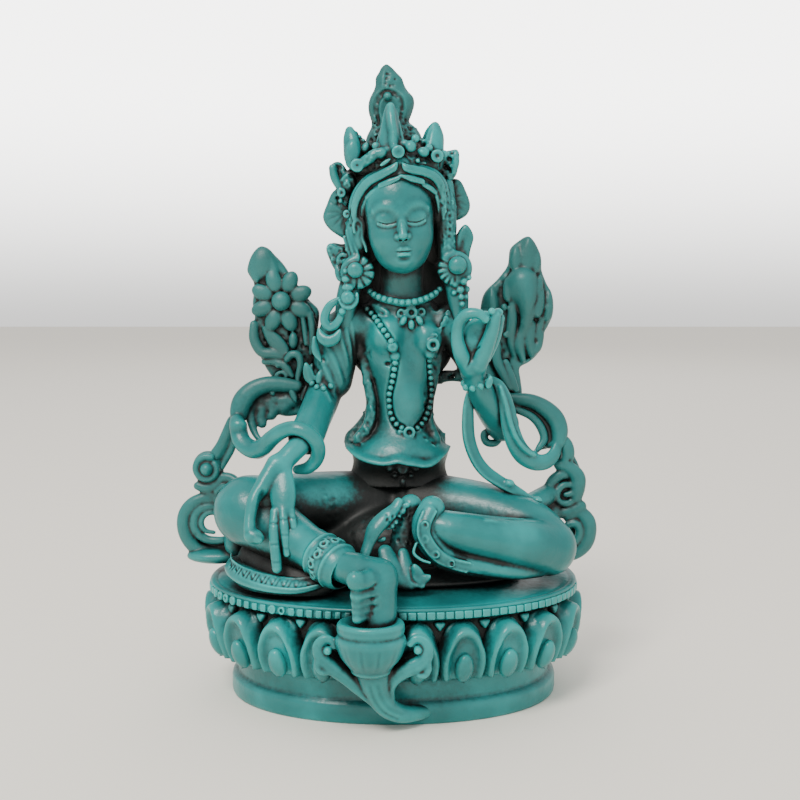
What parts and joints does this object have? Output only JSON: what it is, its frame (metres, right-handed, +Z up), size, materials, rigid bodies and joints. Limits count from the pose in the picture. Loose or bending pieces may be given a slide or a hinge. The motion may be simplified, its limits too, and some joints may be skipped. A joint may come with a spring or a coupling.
{
  "type": "tara figure",
  "caption": "Seated deity figure in cast turquoise resin, one leg hanging onto a small lotus, with crown, scarves and lotus sprays, on an oval double lotus plinth.",
  "frame": {"origin": "middle of the plinth's flat underside", "axes": "+Z up out of the underside, the figure faces -Y, +X on the viewer's right"},
  "size_m": [0.0953, 0.0706, 0.14],
  "materials": {
    "turquoise_resin": "satin cast resin, turquoise with a near-black wash in the recesses"
  },
  "bodies": {
    "root": {"tara_figure": "turquoise_resin"}
  },
  "joints": []
}
